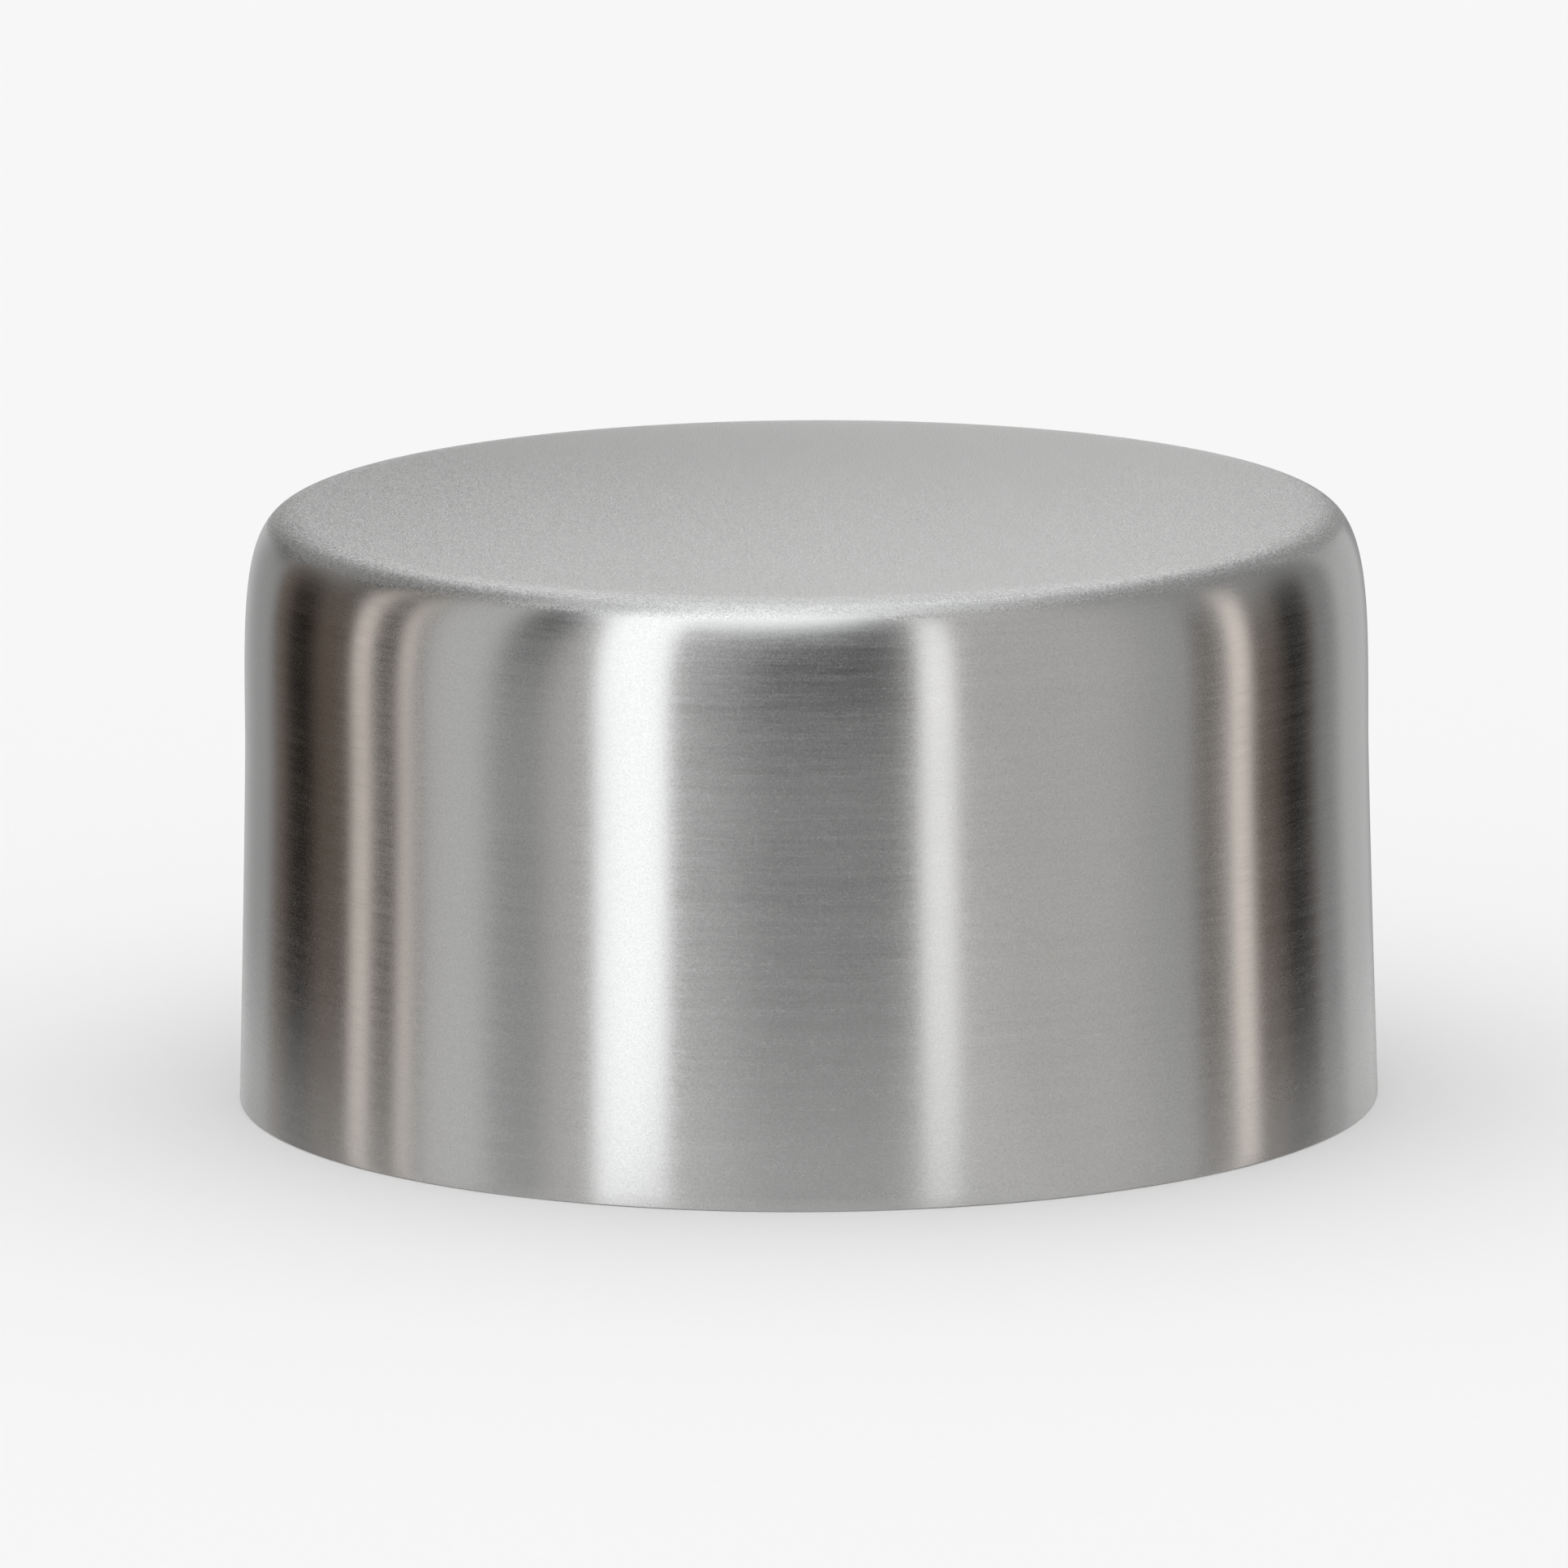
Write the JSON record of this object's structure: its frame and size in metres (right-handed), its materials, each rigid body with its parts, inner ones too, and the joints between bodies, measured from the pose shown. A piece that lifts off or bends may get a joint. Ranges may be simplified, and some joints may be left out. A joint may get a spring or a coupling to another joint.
{
  "type": "gravity feeder tube cap",
  "caption": "Deep-drawn brushed steel cap with a flat crown, rounded shoulder and slightly flared skirt, lined with ribbed rubber to slip onto the end of a round feed tube.",
  "frame": {"origin": "centre of the open rim, in the plane that the cap rests on", "axes": "+Z along the cap's axis, from the open rim to the closed crown; the cap is round, so X and Y are any two directions square to it"},
  "size_m": [0.122, 0.122, 0.0636],
  "materials": {
    "brushed_stainless": "fine brushing around the axis on the skirt, satin on the crown",
    "grip_rubber": "matte moulded black rubber",
    "sponge_rubber": "matte closed-cell sponge with a fine pore"
  },
  "bodies": {
    "root": {"cap_shell": "brushed_stainless", "grip_sleeve": "grip_rubber", "crown_gasket": "sponge_rubber"}
  },
  "joints": []
}
